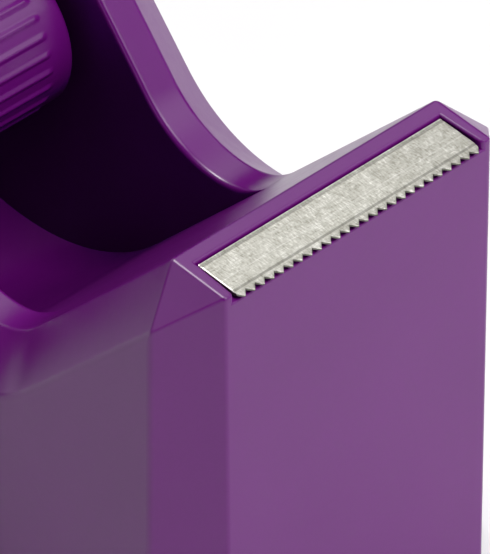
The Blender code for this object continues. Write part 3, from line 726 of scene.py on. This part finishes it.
def make_cutter():
    """The serrated strip: curled rear edge, lines along it, ground teeth and worn corners."""
    edge = tooth_edge()
    roots = CUTTER_SECTION[-1][0] * MM
    under = CUTTER_TOP + CUTTER_THICKNESS
    face = CUTTER_TOP + TOOTH_FACE_DROP
    rows = []
    for depth, drop in CUTTER_SECTION:
        rows.append([cutter_point(x, depth * MM, drop * MM) for x, _ in edge])
    for share, drop in TOOTH_SLOPE:
        rows.append([cutter_point(x, roots + (tip - roots) * share, drop * MM) for x, tip in edge])
    rows.append([(end_shift(x, tip), tip + TOOTH_FACE_BACK, face) for x, tip in edge])
    rows.append([(end_shift(x, roots), roots, under) for x, _ in edge])
    rows.append([(x, CUTTER_BACK, under) for x, _ in edge])
    lines = [[world(x, depth, top_height(depth) - drop) for x, depth, drop in row] for row in rows]
    made = Mesh()
    for first, second in zip(lines, lines[1:] + lines[:1]):
        made.strip(first, second)
    made.face([line[0] for line in lines])
    made.face([line[-1] for line in lines])
    made.triangulate(5)
    cutter = made.finish("cutter_strip")
    soften(cutter, CUTTER_SMOOTH_ANGLE)
    return cutter


# ---------------------------------------------------------------- hub

def hub_place(x, radius, angle):
    """A point round the hub's axis."""
    return (x, FRONT_Y + HUB_DEPTH + radius * math.cos(angle), HUB_HEIGHT + radius * math.sin(angle))


def drum_end(sign):
    """The drum's rounded end as (x, radius), from the flat end out to the full radius."""
    center = DRUM_HALF_LENGTH - DRUM_END_RADIUS
    points = []
    for i in range(DRUM_END_STEPS + 1):
        angle = math.radians(90 - 90 * i / DRUM_END_STEPS)
        points.append((sign * (center + DRUM_END_RADIUS * math.sin(angle)),
                       DRUM_RADIUS - DRUM_END_RADIUS * (1 - math.cos(angle))))
    return points


def rib(angle):
    """The ribs' height round the drum, 1 on a crest and 0 between them."""
    place = (angle * RIB_COUNT / (2 * math.pi)) % 1.0
    from_crest = min(place, 1 - place) / RIB_FOOT
    return 0.5 + 0.5 * math.cos(math.pi * min(from_crest, 1.0))


def hub_ring(x, radius, segments, share=0.0):
    """A ring of points round the hub's axis, with a share of the ribs' height on it."""
    points = []
    for i in range(segments):
        angle = 2 * math.pi * i / segments
        points.append(hub_place(x, radius + share * RIB_HEIGHT * rib(angle), angle))
    return points


def join_rings(rings, name):
    """A closed solid whose surface runs through the rings and back to the first."""
    made = Mesh()
    for first, second in zip(rings, rings[1:] + rings[:1]):
        made.strip(first, second, closed=True)
    obj = made.finish(name)
    soften(obj)
    return obj


def make_drum():
    """The ribbed drum: rounded ribs that fade out before both ends."""
    sections = [(x, radius, 0.0) for x, radius in drum_end(1)]
    for i in range(RIB_END_STEPS + 1):
        rise = 0.5 - 0.5 * math.cos(math.pi * i / RIB_END_STEPS)
        sections.append((RIB_HALF_LENGTH - RIB_TAPER * i / RIB_END_STEPS, DRUM_RADIUS, rise))
    for i in range(RIB_END_STEPS + 1):
        fall = 0.5 + 0.5 * math.cos(math.pi * i / RIB_END_STEPS)
        sections.append((RIB_TAPER - RIB_HALF_LENGTH - RIB_TAPER * i / RIB_END_STEPS, DRUM_RADIUS, fall))
    bore = DRUM_RADIUS - DRUM_WALL
    mouth = FIT_GAP - (DRUM_HALF_LENGTH - DRUM_END_RADIUS)
    floor = DRUM_HALF_LENGTH - DRUM_FLOOR
    boss_end = floor - BEARING_BOSS_LENGTH
    for x, radius in ((mouth + DRUM_MOUTH_BEVEL, DRUM_RADIUS), (mouth, DRUM_RADIUS - DRUM_MOUTH_BEVEL),
                      (mouth, bore), (floor, bore), (floor, BEARING_BOSS_RADIUS),
                      (boss_end, BEARING_BOSS_RADIUS), (boss_end, BEARING_RADIUS),
                      (DRUM_HALF_LENGTH - BORE_BEVEL, BEARING_RADIUS),
                      (DRUM_HALF_LENGTH, BEARING_RADIUS + BORE_BEVEL)):
        sections.append((x, radius, 0.0))
    rings = [hub_ring(x, radius, DRUM_SEGMENTS, share) for x, radius, share in sections]
    return join_rings(rings, "ribbed_drum")


def make_cap():
    """The plug that closes the drum's left end."""
    sections = drum_end(-1)
    plug = DRUM_RADIUS - DRUM_WALL - FIT_GAP
    plug_end = PLUG_LENGTH - (DRUM_HALF_LENGTH - DRUM_END_RADIUS)
    inside = DRUM_FLOOR - DRUM_HALF_LENGTH
    boss_end = BEARING_BOSS_LENGTH + inside
    sections += [(sections[-1][0], plug), (plug_end - PLUG_BEVEL, plug), (plug_end, plug - PLUG_BEVEL),
                 (plug_end, plug - DRUM_WALL), (inside, plug - DRUM_WALL), (inside, BEARING_BOSS_RADIUS),
                 (boss_end, BEARING_BOSS_RADIUS), (boss_end, BEARING_RADIUS),
                 (BORE_BEVEL - DRUM_HALF_LENGTH, BEARING_RADIUS),
                 (-DRUM_HALF_LENGTH, BEARING_RADIUS + BORE_BEVEL)]
    return join_rings([hub_ring(x, radius, CAP_SEGMENTS) for x, radius in sections], "drum_cap")


def axle_ring(x, radius, flat):
    """A ring round the axle, cut off at the two flats or whole."""
    points = []
    for i in range(AXLE_SEGMENTS):
        angle = 2 * math.pi * i / AXLE_SEGMENTS
        across = radius * math.cos(angle)
        if flat:
            across = max(-AXLE_FLAT, min(AXLE_FLAT, across))
        points.append((x, FRONT_Y + HUB_DEPTH + across, HUB_HEIGHT + radius * math.sin(angle)))
    return points


def make_axle():
    """The steel pin with flat-sided ends and turned chamfers."""
    flat_start = DRUM_HALF_LENGTH + AXLE_FLAT_GAP
    sections = [(AXLE_HALF_LENGTH, AXLE_RADIUS - AXLE_BEVEL, True),
                (AXLE_HALF_LENGTH - 0.5 * AXLE_BEVEL, AXLE_RADIUS - 0.15 * AXLE_BEVEL, True),
                (AXLE_HALF_LENGTH - AXLE_BEVEL, AXLE_RADIUS, True),
                (flat_start + AXLE_BLEND, AXLE_RADIUS, True), (flat_start, AXLE_RADIUS, False)]
    sections += [(-x, radius, flat) for x, radius, flat in reversed(sections)]
    rings = [axle_ring(x, radius, flat) for x, radius, flat in sections]
    made = Mesh()
    for first, second in zip(rings, rings[1:]):
        made.strip(first, second, closed=True)
    made.face(rings[0])
    made.face(rings[-1])
    axle = made.finish("axle_pin")
    soften(axle)
    return axle


# ---------------------------------------------------------------- materials

PURPLE = (0.140, 0.0101, 0.177)
# the tint of the cutter's painted shade
PAINTED_SHADE_TINT = (0.08, 0.075, 0.065)
# the tint of the cutter's painted highlights
PAINTED_HIGHLIGHT_TINT = (0.78, 0.77, 0.74)

# The colour sockets of a Mix node, which share their names with its other sockets
MIX_FACTOR = 0
MIX_FIRST = 6
MIX_SECOND = 7
MIX_RESULT = 2


def scaled(color, factor):
    return tuple(factor * value for value in color)


class Nodes:
    """Short calls for building a node material."""

    def __init__(self, name):
        self.material = bpy.data.materials.new(name)
        self.material.use_nodes = True
        self.tree = self.material.node_tree
        self.shader = self.tree.nodes["Principled BSDF"]

    def add(self, kind, **values):
        node = self.tree.nodes.new(kind)
        for key, value in values.items():
            setattr(node, key, value)
        return node

    def put(self, source, node, name):
        self.tree.links.new(source, node.inputs[name])

    def coordinates(self, scale=(1, 1, 1)):
        """Place on the object in millimetres, times a scale for each axis."""
        place = self.add("ShaderNodeTexCoord")
        mapping = self.add("ShaderNodeMapping")
        mapping.inputs["Scale"].default_value = tuple(value / MM for value in scale)
        self.put(place.outputs["Object"], mapping, "Vector")
        return mapping.outputs["Vector"]

    def noise(self, vector, scale, detail=3.0, roughness=0.5, distortion=0.0):
        node = self.add("ShaderNodeTexNoise")
        self.put(vector, node, "Vector")
        node.inputs["Scale"].default_value = scale
        node.inputs["Detail"].default_value = detail
        node.inputs["Roughness"].default_value = roughness
        node.inputs["Distortion"].default_value = distortion
        return node.outputs["Fac"]

    def span(self, value, source, target):
        """Carry a value from the source range over to the target range."""
        node = self.add("ShaderNodeMapRange")
        self.put(value, node, "Value")
        node.inputs["From Min"].default_value = source[0]
        node.inputs["From Max"].default_value = source[1]
        node.inputs["To Min"].default_value = target[0]
        node.inputs["To Max"].default_value = target[1]
        return node.outputs["Result"]

    def ramp(self, value, stops):
        node = self.add("ShaderNodeValToRGB")
        elements = node.color_ramp.elements
        while len(elements) < len(stops):
            elements.new(0.5)
        for element, (place, color) in zip(elements, stops):
            element.position = place
            element.color = (*color, 1.0)
        self.put(value, node, "Fac")
        return node.outputs["Color"]

    def math(self, operation, a, b=0.0):
        node = self.add("ShaderNodeMath", operation=operation)
        for i, value in enumerate((a, b)):
            if isinstance(value, (int, float)):
                node.inputs[i].default_value = value
            else:
                self.tree.links.new(value, node.inputs[i])
        return node.outputs["Value"]

    def tinted(self, color, share, tint):
        """Mix a share of one plain tint into a colour."""
        node = self.add("ShaderNodeMix", data_type="RGBA")
        self.tree.links.new(share, node.inputs[MIX_FACTOR])
        self.tree.links.new(color, node.inputs[MIX_FIRST])
        node.inputs[MIX_SECOND].default_value = (*tint, 1.0)
        return node.outputs[MIX_RESULT]

    def weighted(self, *terms):
        """The sum of (value, weight) terms."""
        total = None
        for value, weight in terms:
            part = self.math("MULTIPLY", value, weight)
            total = part if total is None else self.math("ADD", total, part)
        return total

    def bump(self, height, strength, distance):
        node = self.add("ShaderNodeBump")
        node.inputs["Strength"].default_value = strength
        node.inputs["Distance"].default_value = distance
        self.put(height, node, "Height")
        self.put(node.outputs["Normal"], self.shader, "Normal")


def purple_plastic():
    """Moulded plastic with a satin finish: the colour and the gloss drift a little from place to place."""
    made = Nodes("purple_plastic")
    place = made.coordinates()
    broad = made.noise(place, 0.045, detail=2.0)
    fine = made.noise(place, 2.2, detail=4.0, roughness=0.6)
    drift = made.weighted((broad, 0.7), (fine, 0.3))
    color = made.ramp(drift, ((0.3, scaled(PURPLE, 0.94)), (0.7, scaled(PURPLE, 1.06))))
    made.put(color, made.shader, "Base Color")
    satin = made.noise(place, 0.6, detail=5.0, roughness=0.6)
    made.put(made.span(satin, (0.3, 0.7), (0.28, 0.33)), made.shader, "Roughness")
    made.shader.inputs["IOR"].default_value = 1.47
    return made.material


def cutter_steel():
    """Rolled strip with a fine grain; painted shade in the rear dip, root crease, teeth and right end;
    painted highlights.
    """
    made = Nodes("cutter_steel")
    place = made.coordinates()
    grain = made.noise(made.coordinates((6.5, 1.3, 1.0)), 1.0, detail=5.0, roughness=0.78, distortion=0.5)
    scuffs = made.noise(made.coordinates((0.9, 4.6, 1.0)), 1.0, detail=4.0, roughness=0.72, distortion=0.3)
    patches = made.noise(place, 0.5, detail=3.0, roughness=0.6, distortion=0.8)
    mixed = made.weighted((grain, 0.56), (scuffs, 0.24), (patches, 0.2))
    color = made.ramp(mixed, ((0.38, (0.22, 0.21, 0.18)), (0.46, (0.41, 0.40, 0.35)),
                              (0.53, (0.53, 0.52, 0.47)), (0.61, (0.82, 0.81, 0.76))))
    axes = made.add("ShaderNodeSeparateXYZ")
    made.put(place, axes, "Vector")
    across = axes.outputs["X"]
    depth = made.math("SUBTRACT", axes.outputs["Y"], FRONT_Y / MM)
    slope = made.math("MULTIPLY", depth, TOP_RISE / TOWER_DEPTH)
    top = made.math("ADD", slope, (TOWER_HEIGHT - CUTTER_TOP) / MM)
    drop = made.math("SUBTRACT", top, axes.outputs["Z"])
    # each painted line of shade or highlight: its coordinate, its middle and half width in millimetres, its
    # strength and its tint
    for value, middle, half, share, tint in (
            # painted shade in the crease at the tooth roots and in the dip behind the curled lip
            (depth, 0.61, 0.16, 0.55, PAINTED_SHADE_TINT), (depth, 5.49, 0.28, 0.38, PAINTED_SHADE_TINT),
            # painted shade on the teeth's faces under the top, and a little towards the right end
            (drop, 0.45, 0.37, 0.75, PAINTED_SHADE_TINT), (across, 19.0, 12.0, 0.1, PAINTED_SHADE_TINT),
            # painted highlights along the faint middle line and on the worn left end
            (depth, 2.45, 0.07, 0.32, PAINTED_HIGHLIGHT_TINT), (across, -17.86, 0.06, 0.2, PAINTED_HIGHLIGHT_TINT)):
        off = made.math("ABSOLUTE", made.math("SUBTRACT", value, middle))
        color = made.tinted(color, made.span(off, (0.6 * half, half), (share, 0.0)), tint)
    made.put(color, made.shader, "Base Color")
    made.shader.inputs["Metallic"].default_value = 0.85
    made.put(made.span(grain, (0.3, 0.7), (0.5, 0.36)), made.shader, "Roughness")
    scratches = made.noise(made.coordinates((9.0, 1.6, 1.0)), 1.0, detail=4.0, roughness=0.6)
    made.bump(scratches, 0.35, 0.03 * MM)
    return made.material


def drawn_steel(name, color, roughness, along):
    """Plain steel with faint drawing lines along one direction."""
    made = Nodes(name)
    lines = made.noise(made.coordinates(along), 1.0, detail=4.0, roughness=0.6)
    made.put(made.ramp(lines, ((0.35, scaled(color, 0.88)), (0.65, color))), made.shader, "Base Color")
    made.shader.inputs["Metallic"].default_value = 1.0
    made.put(made.span(lines, (0.3, 0.7), (roughness + 0.06, roughness - 0.04)), made.shader, "Roughness")
    made.bump(lines, 0.15, 0.02 * MM)
    return made.material


def rough_solid(name, color, roughness, grain, depth, metallic=0.0):
    """A matte material with a grain of its own: moulded, cast or foamed."""
    made = Nodes(name)
    pits = made.noise(made.coordinates(), grain, detail=5.0, roughness=0.6)
    mottled = made.ramp(pits, ((0.3, scaled(color, 0.75)), (0.7, scaled(color, 1.25))))
    made.put(mottled, made.shader, "Base Color")
    made.shader.inputs["Metallic"].default_value = metallic
    made.put(made.span(pits, (0.3, 0.7), (roughness - 0.06, roughness + 0.06)), made.shader, "Roughness")
    made.bump(pits, 0.5, depth)
    return made.material


# ---------------------------------------------------------------- studio

CAMERA_PLACE = (-0.3674, -0.4247, 0.4712)
CAMERA_AXES = ((0.71983, -0.69419, -0.00749), (0.43864, 0.44643, 0.78), (-0.53808, -0.56470, 0.62578))
CAMERA_LENS = 410.2
CLIP_NEAR = 0.01
CLIP_FAR = 50.0
FLOOR_RADII = (0.3, 0.8, 2.0, 5.0, 12.0)
FLOOR_SEGMENTS = 48
LIGHT_AIM = (0.0, 0.0, 0.05)
LIGHT_DISTANCE = 1.2

# Each soft box: name, azimuth and elevation in degrees, width in metres, power in watts
SOFT_BOXES = (("front_top", 180, 68, 0.6, 6.1), ("back_top", 0, 68, 0.6, 3.2),
              ("right_high", 90, 45, 0.6, 1.6), ("right_back_high", 45, 45, 0.6, 1.6),
              ("front_high", 180, 45, 0.6, 4.2), ("front_low", 180, 12, 0.6, 1.1),
              ("right_front_high", 135, 45, 0.6, 2.3), ("right_front_low", 135, 12, 0.6, 0.9),
              ("back_low", 0, 12, 0.6, 1.7))
# The same for the ones that only show as highlights
GLINTS = (("glint_back", 356, 59, 0.12, 10.0), ("glint_left_back", 305, 31, 0.6, 1.6),
          ("glint_left", 257, 8, 0.6, 1.5))

# A film-like toe: scene brightness and what is shown for it
TONE = ((0.010, 0.004), (0.022, 0.012), (0.038, 0.034), (0.08, 0.079))
COMBINED_CURVE = 3


def make_camera():
    """A long lens, turned by its own right, up and back directions."""
    camera = bpy.data.objects.new("camera", bpy.data.cameras.new("camera"))
    bpy.context.scene.collection.objects.link(camera)
    right, up, back = (Vector(axis).normalized() for axis in CAMERA_AXES)
    turn = Matrix((right, up, back)).transposed()
    camera.matrix_world = Matrix.Translation(CAMERA_PLACE) @ turn.to_4x4()
    camera.data.lens = CAMERA_LENS
    camera.data.clip_start = CLIP_NEAR
    camera.data.clip_end = CLIP_FAR
    bpy.context.scene.camera = camera


def make_floor():
    """A wide white table that the object stands on."""
    made = Mesh()
    turns = [2 * math.pi * i / FLOOR_SEGMENTS for i in range(FLOOR_SEGMENTS)]
    rings = []
    for radius in FLOOR_RADII:
        rings.append([(radius * math.cos(turn), radius * math.sin(turn), 0.0) for turn in turns])
    for first, second in zip(rings, rings[1:]):
        made.strip(first, second, closed=True)
    made.face(rings[0])
    floor = made.finish("floor")
    paper = Nodes("white_table")
    mottle = paper.noise(paper.coordinates(), 0.02)
    white = paper.ramp(mottle, ((0.3, (0.96, 0.96, 0.96)), (0.7, (0.98, 0.98, 0.98))))
    paper.put(white, paper.shader, "Base Color")
    paper.shader.inputs["Roughness"].default_value = 0.9
    floor.data.materials.append(paper.material)


def softbox(name, azimuth, elevation, size, power):
    """A square soft light that looks at the object, with azimuth 0 behind it and 90 on its right."""
    turn, rise = math.radians(azimuth), math.radians(elevation)
    aim = Vector(LIGHT_AIM)
    toward_light = Vector((math.sin(turn) * math.cos(rise), math.cos(turn) * math.cos(rise), math.sin(rise)))
    place = aim + LIGHT_DISTANCE * toward_light
    light = bpy.data.lights.new(name, "AREA")
    light.shape = "SQUARE"
    light.size = size
    light.energy = power
    obj = bpy.data.objects.new(name, light)
    bpy.context.scene.collection.objects.link(obj)
    look = (aim - place).normalized()
    obj.matrix_world = Matrix.Translation(place) @ look.to_track_quat("-Z", "Y").to_matrix().to_4x4()
    return obj


def make_world():
    """A black surround: only the soft boxes light the object."""
    surround = bpy.data.worlds.new("surround")
    surround.use_nodes = True
    background = surround.node_tree.nodes["Background"]
    background.inputs["Strength"].default_value = 0.0
    bpy.context.scene.world = surround


def set_tone():
    """Bend the darkest tones down on their way to the picture."""
    scene = bpy.context.scene
    scene.view_settings.view_transform = "Standard"
    scene.view_settings.look = "None"
    scene.view_settings.use_curve_mapping = True
    tone = scene.view_settings.curve_mapping
    for place, value in TONE:
        tone.curves[COMBINED_CURVE].points.new(place, value)
    tone.update()


# ---------------------------------------------------------------- scene

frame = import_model()

plastic = purple_plastic()
steel = cutter_steel()
axle_steel = drawn_steel("axle_steel", (0.62, 0.62, 0.62), 0.3, (0.05, 6, 6))

for piece, body, node, slot, material in (
        (make_body(), "base", "body_shell", "purple_plastic", plastic),
        (make_cutter(), "base", "cutter_blade", "cutter_steel", steel),
        (make_drum(), "hub", "hub_drum", "purple_plastic", plastic),
        (make_cap(), "hub", "hub_cap", "purple_plastic", plastic),
        (make_axle(), "axle", "hub_axle", "axle_steel", axle_steel)):
    piece.data.materials.clear()
    piece.data.materials.append(material)
    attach(piece, body)
    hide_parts(node)

# The pieces that stay as the CAD made them, with their slots and materials
adhesive = rough_solid("adhesive", (0.75, 0.72, 0.6), 0.7, 3.0, 0.02 * MM)
base_plastic = rough_solid("base_plastic", (0.03, 0.03, 0.035), 0.5, 4.0, 0.03 * MM)
cast_iron = rough_solid("cast_iron", (0.12, 0.12, 0.12), 0.65, 1.6, 0.1 * MM, metallic=0.6)
pad_foam = rough_solid("pad_foam", (0.02, 0.02, 0.02), 0.9, 6.0, 0.1 * MM)
screw_steel = drawn_steel("screw_steel", (0.5, 0.5, 0.5), 0.35, (1, 1, 6))
screws = [f"{kind}_screw_{number}" for kind in ("base", "ballast") for number in (1, 2, 3, 4)]
for nodes, slot, material in (
        (["cutter_adhesive"], "adhesive", adhesive),
        (["base_plate"], "base_plastic", base_plastic),
        (["ballast_front", "ballast_rear"], "cast_iron", cast_iron),
        (["non_slip_pad"], "pad_foam", pad_foam),
        (screws, "screw_steel", screw_steel)):
    for node in nodes:
        shown = frame["nodes"][node]
        shown.data.materials.clear()
        shown.data.materials.append(material)

make_floor()
make_camera()
make_world()
for settings in SOFT_BOXES:
    softbox(*settings)
for settings in GLINTS:
    softbox(*settings).visible_diffuse = False
set_tone()
